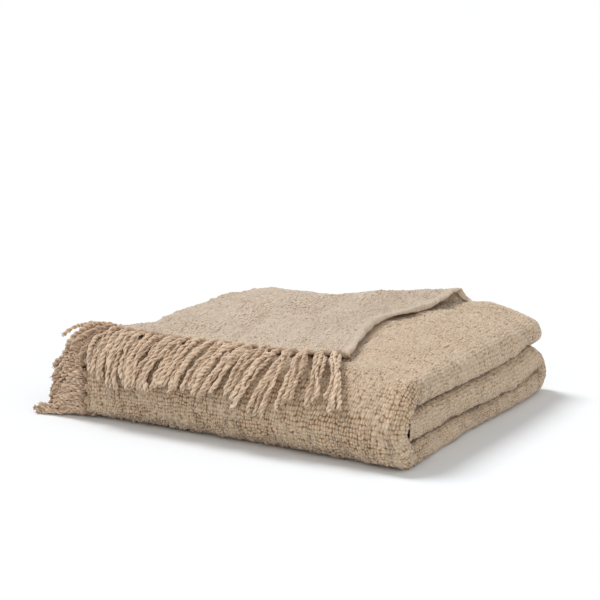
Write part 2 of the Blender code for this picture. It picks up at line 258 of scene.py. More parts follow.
def settle(x, y, z):
    left, right = -pack["halfLength"], pack["halfLength"]
    height = z / (topMiddle + packet / 2)
    rightEnd = smooth(x, uneven["endFrom"], right)
    higher = uneven["moundMiddle"] - uneven["moundLeft"]
    full = uneven["moundLeft"] + higher * smooth(x, *uneven["moundAlong"])
    fade = np.clip((right - uneven["moundEnd"] - x) / uneven["moundFade"], 0.0, 1.0)
    full = full * np.sin(fade * math.pi / 2)
    deepRate, deepPhase = uneven["swingDeep"]
    swing = wave(uneven["swing"], x) * np.cos(deepRate * y + deepPhase)
    lift = full * smooth(y, *uneven["moundDeep"]) + swing
    squeeze = np.sin(np.clip(height, 0, 1) * math.pi)
    eased = 1 - uneven["endEased"] * smooth(y, *uneven["easedDeep"])
    low = -uneven["endSink"] * rightEnd * squeeze * eased
    lean = rightEnd * (uneven["endLean"] - uneven["leanBack"] * height + wave(uneven["endWave"], y))
    below = np.clip(1 - height, 0.0, 1.0)
    sag = uneven["sag"] * smooth(y, *uneven["sagDeep"]) * below ** uneven["sagPower"]
    leftEnd = smooth(x, uneven["leftFrom"], left)
    corner = smooth(y, uneven["roundFrom"], pack["topSelvedge"]) ** 2
    swell = smooth(y, *uneven["swellDeep"]) * (1 - corner)
    lean = lean + leftEnd * (uneven["leftRound"] * corner - uneven["leftSwell"] * swell)
    lift = lift + uneven["leftRise"] * smooth(x, *uneven["riseAlong"]) * swell
    tuck = smooth(x, uneven["tuckFrom"], left) * smooth(height, *uneven["tuckHigh"])
    tuck = tuck * smooth(y, *uneven["tuckDeep"])
    lean = lean + uneven["leftTuck"] * tuck
    groove = np.exp(-(((z - uneven["grooveAt"]) / uneven["grooveHigh"]) ** 2))
    near, far = uneven["grooveAlong"]
    groove = groove * smooth(x, rightCentre - near, rightCentre - far) * smooth(y, *uneven["grooveDeep"])
    lean = lean + uneven["grooveFill"] * groove
    newX = x + lean + wave(uneven["sideWander"], y, z)
    newY = y - sag + wave(uneven["frontWander"], x, z)
    return np.stack([newX, newY, z * (1 + lift) + low], axis=-1)


def place(u, v, n):  # a point of the flat cloth, n out of its middle, where it lies in the pack
    u, v, n = (np.asarray(a, float) for a in np.broadcast_arrays(u, v, n))
    x, m = rollLayers(u, n)
    x, s, m = turnCorner(x, v, m, u, n)
    y, z = foldStrip(x, s, m)
    return settle(x, y, z)


# Even random numbers on a square lattice, joined softly: each seed has its own
def softNoise(x, y, seed, size=64):
    table = np.random.default_rng(seed).uniform(-1, 1, (size, size))
    left, low = np.floor(x).astype(int), np.floor(y).astype(int)
    fx, fy = x - left, y - low
    fx, fy = fx * fx * (3 - 2 * fx), fy * fy * (3 - 2 * fy)
    a, b = table[left % size, low % size], table[(left + 1) % size, low % size]
    c, d = table[left % size, (low + 1) % size], table[(left + 1) % size, (low + 1) % size]
    return (a * (1 - fx) + b * fx) * (1 - fy) + (c * (1 - fx) + d * fx) * fy


# The weave: chunky thick-and-thin yarn, one over and one under
weave = dict(
    alongPitch=0.0064,  # from cross yarn to cross yarn
    acrossPitch=0.0060,
    widths=0.24,  # how much thicker or thinner a yarn is than the mean
    oddWider=0.10,
    beadsAlong=1.9,  # crossings of yarn to a cell of the mesh
    beadsAcross=1.8,
    stray=0.15,  # how far the crossings lie off their rows, in cells
    strayRate=0.8,
    yarnHigh=0.0019,
    overHigh=0.0011,
    roundness=2.4,  # power of a yarn's cross-section
    thickThin=0.5,
    thickLong=2.3,
    gapMean=0.55,
    gapClouds=0.55,
    gapCloudLong=(8, 6),
    gapOwn=0.5,
    holeSharp=2.2,
    nub=0.0009,
    nubRate=0.9,
    bead=0.0009,
    hole=0.0003,
    crestOver=1.2,
    flatter=0.66,  # how high the weave stands on top, where it isn't bent open
    bentOpen=1.30,
    bentFrom=(-0.030, 0.015),
    bentFade=0.05,
    rumple=0.0018,
    rumpleLong=(0.045, 0.11, 0.032, 0.09),
    band=0.008,  # the firm border along the selvedge
    bandEdge=(1.15, 0.75),
    ribs=0.4,
    crest=0.0031,
    wanderU=0.0009,  # yarns wander a little in the cloth
    wanderV=0.0008,
    wanderFade=0.02,
    knobU=0.0010,  # the edges are as knobbly as the yarns that they are made of
    knobV=0.0014,
    knobLong=0.0042,
    knobDeep=(0.006, 0.001),
    floor=0.0003,
    steps=4,  # mesh lines to a yarn
)


def yarnEdges(count, pitch, seed):
    odd = np.arange(count) % 2 * 2 - 1
    widths = 1 + weave["widths"] * np.random.default_rng(seed).uniform(-1, 1, count)
    widths = widths + weave["oddWider"] * odd
    edges = np.concatenate([[0.0], np.cumsum(widths)])
    return edges / edges[-1] * count * pitch


uEdges = yarnEdges(math.ceil(clothLength / weave["alongPitch"]), weave["alongPitch"], 1)
vEdges = yarnEdges(math.ceil(clothWidth / weave["acrossPitch"]), weave["acrossPitch"], 2)


def weaveRelief(a, b):
    i, j = np.floor(a), np.floor(b)
    fa, fb = a - i, b - j
    apart = 7.3  # keeps each row's noise its own
    warpThick = 1 + weave["thickThin"] * softNoise(a / weave["thickLong"], apart * j + 0.5, 3)
    weftThick = 1 + weave["thickThin"] * softNoise(apart * i + 0.5, b / weave["thickLong"], 4)
    warpCross = 1 - np.abs(2 * fb - 1) ** weave["roundness"]
    weftCross = 1 - np.abs(2 * fa - 1) ** weave["roundness"]
    swing = 0.5 * np.cos(math.pi * (a - 0.5 + j))
    swingWeft = 0.5 * np.cos(math.pi * (b - 0.5 + i))
    warp = weave["overHigh"] * (0.5 + swing) + weave["yarnHigh"] * warpCross * warpThick
    weft = weave["overHigh"] * (0.5 - swingWeft) + weave["yarnHigh"] * weftCross * weftThick
    high = np.maximum(warp, weft)
    longA, longB = weave["gapCloudLong"]
    gap = weave["gapMean"] + weave["gapClouds"] * softNoise(a / longA, b / longB, 5)
    gap = np.clip(gap + weave["gapOwn"] * softNoise(np.round(a), np.round(b), 9), 0.0, 1.0)
    corner = np.clip(1 - weave["holeSharp"] * np.minimum(fa, 1 - fa), 0, 1)
    corner = corner * np.clip(1 - weave["holeSharp"] * np.minimum(fb, 1 - fb), 0, 1)
    high = high - weave["hole"] * corner * gap
    high = high + weave["bead"] * softNoise(i * 3.7 + 0.5, j * 3.1 + 0.5, 10)
    return high + weave["nub"] * softNoise(a * weave["nubRate"] + 0.3, b * weave["nubRate"], 6), gap


reliefTop = weave["overHigh"] + weave["yarnHigh"] * weave["crestOver"]


def shownSide(u, v):  # the side of the cloth that shows: its inner one where the corner is turned over
    q, w = foldPlace(u - pack["halfLength"], v)
    flapped = (u < clothRuns[0]) & (v < topRun)
    return np.where(flapped, 1 - 2 * smooth(w, -0.010, 0.0), 1.0)


def paleSide(u, v, side):  # the turned-over corner and what it leaves bare are paler
    bare = (u > clothRuns[0] + clothRuns[1]) & (v < cornerAt)
    return np.where(bare, 1.0, 0.5 - 0.5 * side)


def mirrored(u, v):  # the point of the turned-over corner that lies above, and how far the fold is
    q, w = foldPlace(u - pack["halfLength"], v)
    far = -w + math.pi * loopRadius(q)
    backU = q * foldAlong[0] + far * foldBeyond[0]
    backV = cornerAt + q * foldAlong[1] + far * foldBeyond[1]
    return backU, backV, w


def underFlap(u, v, margin):  # the cloth that the turned-over corner hides
    backU, backV, w = mirrored(u, v)
    inside = (backU > margin) & (backV > margin) & (w < -margin)
    return inside & (u < clothRuns[0]) & (v < topRun)


hemShade = dict(  # the deep shade between the knots, just under the hem: how much, and where
    dark=2.2,
    ahead=(-0.012, -0.005),
    behind=(0.020, 0.006),
    across=(-0.004, 0.006),
    fold=(0.0, -0.02),
    past=0.05,
)


def underHem(u, v):
    backU, backV, w = mirrored(u, v)
    near = smooth(backU, *hemShade["ahead"]) * smooth(backU, *hemShade["behind"])
    near = near * smooth(backV, *hemShade["across"]) * smooth(w, *hemShade["fold"])
    return np.where((u < clothRuns[0]) & (v < topRun + hemShade["past"]), near, 0.0)


# Rows that carry the cloth's edge round to its far side: how far out, and how much of the half thickness
edgeRoll = ((-0.006, -1.0), (0.0, -1.0), (0.0018, -0.55), (0.0024, 0.0), (0.0018, 0.55))


def meshLines(cells, edges, most, rolled):  # where they lie, at which yarn, and how thick the cloth is
    steps = weave["steps"]
    yarns = np.arange(cells[0] * steps, cells[1] * steps + 1) / steps
    lines = np.minimum(np.interp(yarns, np.arange(len(edges)), edges), most)
    full = np.ones(len(lines))
    if rolled:
        lines = np.concatenate([[lines[0] - out for out, _ in edgeRoll], lines])
        yarns = np.concatenate([np.full(len(edgeRoll), yarns[0]), yarns])
        full = np.concatenate([[share for _, share in edgeRoll], full])
    return lines, yarns, full


def addObject(name, data):
    made = bpy.data.objects.new(name, data)
    bpy.context.scene.collection.objects.link(made)
    return made


def addValues(mesh, name, values):  # three for each point, for the materials
    made = mesh.attributes.new(name, "FLOAT_VECTOR", "POINT")
    made.data.foreach_set("vector", values.astype(np.float32).ravel())


def clothPiece(name, uCells, vCells, detail, rollU, rollV):
    steps = weave["steps"]
    u0, u1 = uCells
    v0, v1 = vCells
    uLines, aLines, fullU = meshLines(uCells, uEdges, clothLength, rollU)
    vLines, bLines, fullV = meshLines(vCells, vEdges, clothWidth, rollV)
    u, v = np.meshgrid(uLines, vLines, indexing="ij")
    a, b = np.meshgrid(aLines, bLines, indexing="ij")
    rate = weave["strayRate"]
    strayA = weave["stray"] * softNoise(a * rate + 0.3, b * rate + 0.7, 13)
    strayB = weave["stray"] * softNoise(a * rate + 9.1, b * rate + 4.3, 14)
    a, b = weave["beadsAlong"] * (a + strayA), weave["beadsAcross"] * (b + strayB)
    full = np.minimum(*np.meshgrid(fullU, fullV, indexing="ij"))
    border = smooth(v, *(weave["band"] * share for share in weave["bandEdge"]))
    relief, gap = weaveRelief(a, b)
    ribbed = weaveRelief(a, 2 * b)[0] * weave["ribs"] + (1 - weave["ribs"]) * reliefTop
    relief = relief * (1 - border) + ribbed * border
    bent = smooth(v, *(topRun + past for past in weave["bentFrom"]))
    bent = bent * smooth(v, frontEnd + weave["bentFade"], frontEnd)
    opened = weave["flatter"] + (weave["bentOpen"] - weave["flatter"]) * bent
    gap = np.clip(gap * (1 - 0.8 * border) * opened, 0.0, 1.3)
    depth = (reliefTop - relief) * opened
    side = shownSide(u, v)
    longs = weave["rumpleLong"]
    rumple = weave["rumple"] * softNoise(u / longs[0] + v / longs[1], v / longs[2] - u / longs[3], 15)
    n = side * (weave["crest"] - depth + rumple) * full
    fade = weave["wanderFade"]
    wanderU = weave["wanderU"] * softNoise(a / 5, b / 4, 7) * np.clip(u / fade, 0, 1)
    wanderV = weave["wanderV"] * softNoise(a / 4, b / 5, 8) * np.clip(v / fade, 0, 1)
    knobs = weave["knobLong"]
    wanderV = wanderV + weave["knobV"] * softNoise(u / knobs, 0 * u, 16) * smooth(v, *weave["knobDeep"])
    wanderU = wanderU + weave["knobU"] * softNoise(v / knobs, 0 * u, 17) * smooth(u, *weave["knobDeep"])
    points = place(u + wanderU, v + wanderV, n)
    points[..., 2] = np.maximum(points[..., 2], weave["floor"])
    # Each cell of the weave gets as many faces as it shows
    cols = len(vLines)
    faces = []
    used = np.zeros(points.shape[:2], bool)

    def addQuads(i, j, across, along):
        near, far = i * cols + j, (i + across) * cols + j
        faces.append((near, far, far + along, near + along))
        used[i, j] = used[i + across, j] = used[i + across, j + along] = used[i, j + along] = True

    offU, offV = (len(edgeRoll) if roll else 0 for roll in (rollU, rollV))
    for ci in range(u1 - u0):
        for cj in range(v1 - v0):
            cu = (u0 + ci + 0.5) * weave["alongPitch"]
            cv = (v0 + cj + 0.5) * weave["acrossPitch"]
            step = steps // detail(cu, cv)
            i0, j0 = offU + ci * steps, offV + cj * steps
            for i in range(i0, i0 + steps, step):
                for j in range(j0, j0 + steps, step):
                    addQuads(i, j, step, step)
    for i in range(offU):
        for j in range(cols - 1):
            addQuads(i, j, 1, 1)
    for j in range(offV):
        for i in range(offU, len(uLines) - 1):
            addQuads(i, j, 1, 1)
    order = np.cumsum(used.ravel()) - 1
    kept = used.ravel()
    faces = [tuple(int(order[k]) for k in face) for face in faces]
    mesh = bpy.data.meshes.new(name)
    mesh.from_pydata(points.reshape(-1, 3)[kept], [], faces)
    # The weave's third value is the relief, lowered by the painted shade under the hem
    values = np.clip(relief / reliefTop, -0.5, 1.5) - hemShade["dark"] * underHem(u, v) * (side > 0)
    addValues(mesh, "weave", np.stack([a, b, values], axis=-1).reshape(-1, 3)[kept])
    tone = np.stack([paleSide(u, v, side), gap, border], axis=-1)
    addValues(mesh, "tone", tone.reshape(-1, 3)[kept])
    layer = mesh.uv_layers.new(name="OFBake")
    flat = np.stack([u / clothLength, v / clothLength], axis=-1).reshape(-1, 2)[kept]
    margin = 0.002
    flat = (flat - flat.min(0)) / (flat.max(0) - flat.min(0)).max() * (1 - 2 * margin) + margin
    corners = np.empty(len(mesh.loops), np.int32)
    mesh.loops.foreach_get("vertex_index", corners)
    layer.data.foreach_set("uv", flat[corners].astype(np.float32).ravel())
    mesh.shade_smooth()
    print(name, "has", len(faces) * 2, "triangles")
    return addObject(name, mesh)


uCut = 86  # cells of the weave: the pieces meet where the pack hides the join
vCut = 87
uCellsAll = math.ceil(clothLength / weave["alongPitch"])
vCellsAll = math.ceil(clothWidth / weave["acrossPitch"])
frontEnd = topRun + stripRuns[1]
bottomEnd = frontEnd + stripRuns[2]
middleStart = bottomEnd + stripRuns[3]
rightBendEnd = clothRuns[0] + clothRuns[1]
leftBend = rightBendEnd + clothRuns[2]
innerLevel = leftBend + clothRuns[3]
shows = dict(  # how far round a bend or edge the cloth still shows, for the fineness of its mesh
    underFlap=0.015,
    pastBend=0.012,
    beforeBend=0.016,
    leftEdge=0.02,
    beforeBack=0.01,
    pastBack=0.02,
    bareLong=0.36,
    bareWide=0.03,
)


# Faces to a side of each cell of the weave: 4, 2 or 1
def topDetail(u, v):
    if underFlap(u, v, shows["underFlap"]) or u > rightBendEnd + shows["pastBend"]:
        return 1
    if v > frontEnd + shows["pastBend"] and u < clothRuns[0] - shows["beforeBend"]:
        return 1
    return 4


def lowDetail(u, v):
    if clothRuns[0] - shows["beforeBend"] < u < rightBendEnd + shows["pastBend"]:
        return 4
    if u < shows["leftEdge"] or bottomEnd - shows["beforeBack"] < v < middleStart + shows["pastBack"]:
        return 2
    return 1


def innerDetail(u, v):
    bare = innerLevel - shows["leftEdge"] < u < innerLevel + shows["bareLong"]
    bare = bare and v + (u - innerLevel) < cornerAt + shows["bareWide"]
    if bare or leftBend - shows["pastBend"] < u < innerLevel + shows["pastBend"] or v < shows["pastBend"]:
        return 2
    return 1


def buildCloth():
    top = clothPiece("throwTop", (0, uCut), (0, vCut), topDetail, True, True)
    low = clothPiece("throwUnder", (0, uCut), (vCut, vCellsAll), lowDetail, True, False)
    inner = clothPiece("throwInside", (uCut, uCellsAll), (0, vCellsAll), innerDetail, False, True)
    return top, low, inner


# The fringe: bundles of two-ply yarn, each gathered by a knot under the hem
fringe = dict(
    bundle=0.0195,
    yarns=2,  # the fewest in a bundle
    length=0.080,
    sides=6,
    ringStep=0.0015,
    sideStep=0.0018,
    hiddenStep=0.0034,  # where the pack lies over the yarn
    closer=0.60,  # the bundles' pitch round the front bend
)
plied = dict(
    plyRadius=0.00165,
    plyOffset=0.0012,
    twist=0.0148,
    twistRange=(0.8, 1.5),
    turnSway=1.5,  # the twist is uneven
    turnLong=0.014,
    crinkle=0.0012,
    crinkleLong=0.0075,
    crinkleFrom=(0.0, 0.2),
    slub=0.24,  # thick and thin stretches, and shorter lumps
    slubApart=0.2,
    slubLong=0.016,
    lump=0.38,
    lumpLong=0.0042,
    blunt=0.24,  # the tips are thick and blunt
    bluntAlong=(0.80, 0.93),
    bluntEnd=0.45,
    endFrom=0.965,
    tipApart=0.15,
    tipFrom=0.88,
    wisps=3,
    wispLong=0.0045,
    wispRange=(0.5, 1.2),
    wispBack=0.0030,
    wispFloor=0.0005,
    wispOut=0.0010,
    wispBend=0.0022,
    wispCurve=1.6,
    wispRadii=(0.0010, 0.00035),
    wispRows=4,
)
knot = dict(
    long=0.0060,
    longRange=(0.9, 1.08),
    radius=0.0042,
    flat=0.95,
    taper=2.6,  # power, and the least share at the ends
    least=0.02,
    lobes=0.16,
    turns=2.6,
    rough=0.08,
    arch=0.0012,
    dim=0.4,
    shown=(0.5, 0.4),  # how far along a yarn and how far outward it counts for its look
    rows=15,
    sides=10,
)
floorClear = 0.0004


class YarnBag:
    def __init__(self, seed):
        self.random = np.random.default_rng(seed)
        self.dim = 0.0  # how much darker the yarns are, where they lie in each other's shade
        self.points = []
        self.faces = []
        self.info = []
        self.count = 0
        self.strands = 0

    def stray(self):
        return self.random.uniform(-1, 1)

    def addRings(self, points, info):  # rings of points, joined by faces and closed at both ends
        rows, sides = points.shape[:2]
        first = self.count
        for i in range(rows - 1):
            a, b = first + i * sides, first + (i + 1) * sides
            for k in range(sides):
                c = (k + 1) % sides
                self.faces.append((a + k, a + c, b + c, b + k))
        last = first + (rows - 1) * sides
        self.faces.append(tuple(range(last, last + sides)))
        self.faces.append(tuple(range(first + sides - 1, first - 1, -1)))
        self.points.append(points.reshape(-1, 3))
        self.info.append(info.reshape(-1, 3))
        self.count += rows * sides

    def addTube(self, centres, normals, binormals, radii, toneAndShade, outward=0.0):
        sides = fringe["sides"] if len(centres) > 6 else 3
        turns = np.arange(sides) / sides * 2 * math.pi
        ring = np.cos(turns)[None, :, None] * normals[:, None]
        ring = ring + np.sin(turns)[None, :, None] * binormals[:, None]
        points = centres[:, None] + ring * radii[:, None, None]
        rows = len(centres)
        info = np.empty((rows, sides, 3))
        info[..., 0] = np.linspace(0, 1, rows)[:, None]
        # The second value says how far a point faces out of its ply, for painted shade in the groove
        # between the plies
        info[..., 1] = np.cos(turns[None] - np.atleast_1d(outward)[:, None])
        info[..., 2] = toneAndShade
        self.addRings(points, info)

    def addYarn(self, path, scale=1.0, ringStep=fringe["ringStep"]):
        path = resample(path, ringStep)
        tangents, normals, binormals = carryFrame(path)
        steps = len(path)
        zero = np.zeros(steps)
        t = np.linspace(0, 1, steps)
        # each yarn's own random tone, less its painted shade
        toneAndShade = self.random.uniform(0, 1) - self.dim
        along = t * ringStep * (steps - 1)
        seeds = self.random.uniform(0, 60, 6)
        # The yarn is crinkled as well as twisted
        crinkle = plied["crinkle"] * smooth(t, *plied["crinkleFrom"])
        bends = along / plied["crinkleLong"]
        path = path + normals * (crinkle * softNoise(bends + seeds[0], zero, 24))[:, None]
        path = path + binormals * (crinkle * softNoise(bends + seeds[1], zero, 25))[:, None]
        twist = plied["twist"] * self.random.uniform(*plied["twistRange"])
        turn = self.random.uniform(0, 2 * math.pi)
        turn = turn + plied["turnSway"] * softNoise(along / plied["turnLong"] + seeds[2], zero, 26)
        slub = softNoise(along / plied["slubLong"] + seeds[3], zero, 11)
        blunt = 1 + plied["blunt"] * smooth(t, *plied["bluntAlong"])
        blunt = blunt * (1 - plied["bluntEnd"] * smooth(t, plied["endFrom"], 1.0))
        for ply in range(2):
            angle = turn + along / twist * 2 * math.pi + ply * math.pi
            away = plied["plyOffset"] * scale * (1 + plied["slubApart"] * slub)
            away = away * (1 + plied["tipApart"] * smooth(t, plied["tipFrom"], 1.0))
            offset = np.cos(angle)[:, None] * normals + np.sin(angle)[:, None] * binormals
            lump = softNoise(along / plied["lumpLong"] + seeds[4 + ply], zero, 12)
            radii = plied["plyRadius"] * scale * (1 + plied["slub"] * slub + plied["lump"] * lump) * blunt
            centres = path + offset * away[:, None]
            self.addTube(centres, normals, binormals, radii, toneAndShade, angle)
            self.addWisps(centres[-1], tangents[-1], normals[-1], binormals[-1], toneAndShade)
        self.strands += 1

    def addWisps(self, start, ahead, normal, binormal, toneAndShade):  # loose fibres at a tip
        rows = plied["wispRows"]
        t = np.linspace(0, 1, rows)[:, None]
        away = plied["wispOut"] + plied["wispBend"] * t ** plied["wispCurve"]
        for _ in range(plied["wisps"]):
            out = self.random.uniform(-1, 1, 2)
            long = plied["wispLong"] * self.random.uniform(*plied["wispRange"])
            bend = (normal * out[0] + binormal * out[1]) * away
            centres = start - ahead * plied["wispBack"] + ahead * t * long + bend
            centres[:, 2] = np.maximum(centres[:, 2], plied["wispFloor"])
            radii = np.linspace(*plied["wispRadii"], rows)
            across = np.repeat(normal[None], rows, axis=0), np.repeat(binormal[None], rows, axis=0)
            self.addTube(centres, *across, radii, toneAndShade)

    def addKnot(self, centre, along, up, ahead):
        rows, sides = knot["rows"], knot["sides"]
        long = knot["long"] * self.random.uniform(*knot["longRange"])
        t = np.linspace(-1, 1, rows)
        turns = np.arange(sides) / sides * 2 * math.pi
        taper = np.sqrt(np.clip(1 - np.abs(t) ** knot["taper"], knot["least"], 1))
        phase = self.random.uniform(0, 6)
        lobes = 1 + knot["lobes"] * np.cos(2 * (turns[None] - knot["turns"] * t[:, None]) + phase)
        rough = 1 + knot["rough"] * self.random.uniform(-1, 1, (rows, 1))
        radius = knot["radius"] * taper[:, None] * lobes * rough
        points = (
            centre
            + along * (t * long)[:, None, None]
            + up * (radius * np.cos(turns))[..., None]
            + ahead * (radius * np.sin(turns) * knot["flat"])[..., None]
            + up * (knot["arch"] * (1 - t**2))[:, None, None]
        )
        info = np.empty((rows, sides, 3))
        info[..., :2] = knot["shown"]
        info[..., 2] = self.random.uniform(0, 1) - self.dim - knot["dim"]
        self.addRings(points, info)

    def finish(self, name):
        points = np.concatenate(self.points)
        points[:, 2] = np.maximum(points[:, 2], floorClear)
        mesh = bpy.data.meshes.new(name)
        mesh.from_pydata(points, [], self.faces)
        addValues(mesh, "strand", np.concatenate(self.info))
        mesh.shade_smooth()
        triangles = sum(len(face) - 2 for face in self.faces)
        print(name, "has", self.strands, "yarns and", triangles, "triangles")
        return addObject(name, mesh)


def resample(path, step):
    gaps = np.linalg.norm(np.diff(path, axis=0), axis=1)
    lengths = np.concatenate([[0], np.cumsum(gaps)])
    count = max(4, int(round(lengths[-1] / step)) + 1)
    at = np.linspace(0, lengths[-1], count)
    return np.stack([np.interp(at, lengths, path[:, k]) for k in range(3)], axis=-1)


def carryFrame(path):
    tangents = np.gradient(path, axis=0)
    tangents /= np.linalg.norm(tangents, axis=1)[:, None]
    normal = np.cross(tangents[0], (0, 0, 1.0))
    if np.linalg.norm(normal) < 0.2:
        normal = np.cross(tangents[0], (0, 1.0, 0))
    normals = np.empty_like(path)
    for i, tangent in enumerate(tangents):
        normal = normal - tangent * normal.dot(tangent)
        normal = normal / np.linalg.norm(normal)
        normals[i] = normal
    return tangents, normals, np.cross(tangents, normals)


# On the turned-over corner the yarns go on from the cloth, forward over the front bend
flap = dict(
    lengthTip=0.069,  # beside the corner's tip they lie flat, and further left they hang
    lengthLeft=0.053,
    lengthAlong=(0.02, 0.14),
    lengthRange=0.07,
    leanTip=-0.042,
    leanLeft=0.012,
    leanOver=0.10,
    leanRange=0.004,
    bundleLean=0.010,
    root=0.004,
    lift=0.0026,
    layer=0.0012,  # every other yarn lies over its neighbours
    layerOver=0.0032,
    layerFrom=(0.05, 0.3),
    gathered=0.20,
    gatheredRange=(0.70, 1.30),
    gatheredAlong=(0.08, 0.50),
    scaleRange=(0.80, 1.12),
    curve=1.25,
    sway=0.0058,
    swayRate=2.6,
    swayFrom=(0.0, 0.3),
    rise=0.0018,
    riseRate=4,
    riseFrom=(0.0, 0.2),
    more=2,  # yarns in a bundle past the fewest, and at times one more
    moreShare=0.4,
    knotOut=-0.0052,
    knotHigh=-0.0030,
    upFrom=-0.0012,  # two places that say which way is up
    upTo=-0.0032,
    upOut=-0.003,
    knotStray=0.0008,
    leftClear=0.022,
    rows=30,
)


def flapYarn(bag, middle, off, way, gathered, lean):
    rows = flap["rows"]
    shorter = float(smooth(middle, *flap["lengthAlong"]))
    length = flap["lengthTip"] + (flap["lengthLeft"] - flap["lengthTip"]) * shorter
    length = length * (1 + flap["lengthRange"] * bag.stray())
    lean = lean + flap["leanRange"] * bag.stray()
    layer = flap["layer"] * bag.random.uniform(0, 1) + flap["layerOver"] * (way % 2)
    t = np.linspace(0, 1, rows)
    zero = np.zeros(rows)
    spread = flap["gathered"]
    spread = spread + (gathered - spread) * smooth(t, *flap["gatheredAlong"])
    v = middle + off * spread + lean * t ** flap["curve"]
    sway = flap["sway"] * softNoise(t * flap["swayRate"] + bag.random.uniform(0, 60), zero, 21)
    v = v + sway * smooth(t, *flap["swayFrom"])
    n = -(flap["lift"] + layer * smooth(t, *flap["layerFrom"]))
    rise = flap["rise"] * softNoise(t * flap["riseRate"] + bag.random.uniform(0, 60), zero, 22)
    return place(-flap["root"] - length * t, v, n - rise * smooth(t, *flap["riseFrom"]))


# At the left end they come out level, droop and lie on the floor
hanging = dict(
    droop=24.0,  # how fast a yarn bends down, for each metre
    droopLeast=0.4,  # share of it that stays where a yarn hangs
    droopRange=(0.45, 1.3),
    longRange=(0.96, 1.14),
    scaleRange=(1.0, 1.3),
    floor=0.0034,
    floorNear=0.006,
    floorEase=0.45,
    step=0.004,
    sway=6.0,
    swayRate=0.16,
    root=0.002,
    loopBundles=4,  # on the turned-over corner's loop
    loopYarns=5,
    loopWide=0.012,
    loopOut=0.002,
    loopEnds=(0.004, -0.001),
    loopBack=-0.35,
    loopBackRange=(0.6, 1.2),
    loopLong=(0.95, 1.1),
    loopDroop=(0.8, 1.9),
    # painted shade: the loop's yarns and the hanging yarns are darker, where they lie in each other's
    # shade
    loopDim=0.6,
    dim=1.1,
    more=4,  # yarns in a bundle past the fewest
    moreHidden=1,
    wide=0.95,
    rootWide=0.6,
    rootOut=0.0022,
    fan=2.8,
    fanTurn=12,
    lowRoot=0.012,
    lowDroop=3.0,
    firstAt=0.25,
    endClear=0.004,
)


def sideRoot(v):
    step = 0.001
    root = -hanging["root"]
    below, above, before, after, inner, outer = place(
        [root] * 4 + [0.0, root], [v, v, v - step, v + step, v, v], [-step, step, 0, 0, 0, 0]
    )
    out = (above - below) / np.linalg.norm(above - below)
    side = (after - before) / np.linalg.norm(after - before)
    ahead = (outer - inner) / np.linalg.norm(outer - inner)
    return (below + above) / 2, out, side, ahead


def hangingYarn(bag, start, ahead, length, droop):
    step, floor = hanging["step"], hanging["floor"]
    at, way = start.copy(), ahead / np.linalg.norm(ahead)
    side = np.array([0.0, 1.0, 0.0])
    path = [at.copy()]
    seed = bag.random.uniform(0, 60)
    least = hanging["droopLeast"]
    for k in range(int(length / step)):
        fall = least + (1 - least) * abs(way[0])
        way = way + np.array([0, 0, -droop * step * fall])
        sway = float(softNoise(np.array(k * hanging["swayRate"] + seed), np.array(0.0), 23))
        way = way + side * (hanging["sway"] * sway) * step
        if at[2] < floor + hanging["floorNear"] and way[2] < 0:
            way[2] *= hanging["floorEase"]
        way = way / np.linalg.norm(way)
        at = at + way * step
        if at[2] < floor:
            at[2] = floor
            way[2] = max(way[2], 0.0)
        path.append(at.copy())
    return np.array(path)


def bundlePlaces(count, wide):  # where its yarns start, each side of its middle
    return [((way + 0.5) / count - 0.5) * wide for way in range(count)]


def buildCorner():
    bag = YarnBag(31)
    flapEnd = cornerAt - flap["leftClear"]
    bundles = round(flapEnd / fringe["bundle"])
    pitch = flapEnd / bundles
    near = 0.002
    for k in range(bundles):
        middle = (k + 0.5) * pitch + flap["knotStray"] * bag.stray()
        at = [middle - near, middle, middle + near]
        before, here, after = place([flap["knotOut"]] * 3, at, [flap["knotHigh"]] * 3)
        up = place(flap["upOut"], middle, flap["upTo"]) - place(flap["upOut"], middle, flap["upFrom"])
        along, up = (after - before) / np.linalg.norm(after - before), up / np.linalg.norm(up)
        bag.addKnot(here, along, up, np.cross(along, up))
        count = fringe["yarns"] + flap["more"] + (bag.random.uniform() < flap["moreShare"])
        gathered = bag.random.uniform(*flap["gatheredRange"])
        leanAt = smooth(middle, 0.0, flap["leanOver"])
        lean = flap["leanTip"] + (flap["leanLeft"] - flap["leanTip"]) * leanAt
        lean = lean + flap["bundleLean"] * bag.stray()
        for way, off in enumerate(bundlePlaces(count, pitch)):
            scale = bag.random.uniform(*flap["scaleRange"])
            bag.addYarn(flapYarn(bag, middle, off, way, gathered, lean), scale)
    # The loop of the turned-over corner carries its bundles up and over
    bag.dim = hanging["loopDim"]
    first, last = hanging["loopEnds"]
    for v in np.linspace(flapEnd + first, cornerAt + last, hanging["loopBundles"]):
        start, out, side, ahead = sideRoot(v)
        bag.addKnot(start, side, -out, ahead)
        for off in bundlePlaces(hanging["loopYarns"], hanging["loopWide"]):
            root = start + side * off + out * hanging["loopOut"] * bag.stray()
            long = fringe["length"] * bag.random.uniform(*hanging["loopLong"])
            back = np.array([hanging["loopBack"], 0.0, 0.0])
            tilt = ahead + back * bag.random.uniform(*hanging["loopBackRange"])
            droop = hanging["droop"] * bag.random.uniform(*hanging["loopDroop"])
            path = hangingYarn(bag, root, tilt, long, droop)
            bag.addYarn(path, bag.random.uniform(*hanging["scaleRange"]))
    return bag.finish("fringeCorner")


